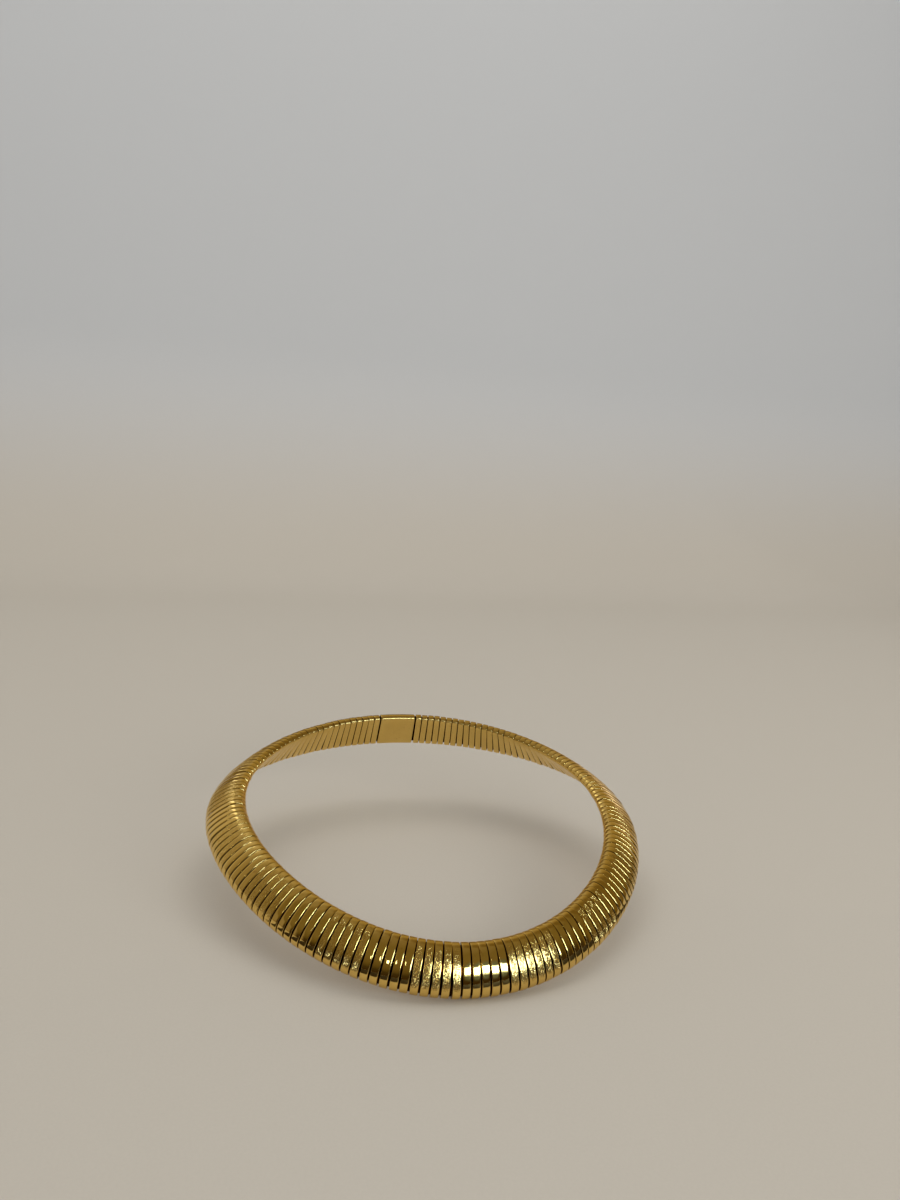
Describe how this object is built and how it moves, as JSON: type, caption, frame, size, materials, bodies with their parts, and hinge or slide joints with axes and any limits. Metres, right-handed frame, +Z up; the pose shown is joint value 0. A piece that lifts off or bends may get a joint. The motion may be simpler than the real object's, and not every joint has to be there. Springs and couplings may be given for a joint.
{
  "type": "collar choker necklace",
  "caption": "Flexible collar necklace of domed gold-tone links, plain and engraved in turn, that fan round the neck and close at the nape.",
  "frame": {"origin": "middle of the neck opening, where the neck's axis passes through the collar", "axes": "+Z up along the neck, -Y towards the throat, +Y towards the nape, +X across, the collar alike on both sides of the YZ plane"},
  "size_m": [0.1422, 0.1382, 0.0374],
  "materials": {
    "links": "polished gold plate, groups of links with fine cross-cut engraving",
    "clasp": "plain polished gold plate"
  },
  "bodies": {
    "root": {"links_left": "links", "links_right": "links", "clasp": "clasp"}
  },
  "joints": []
}
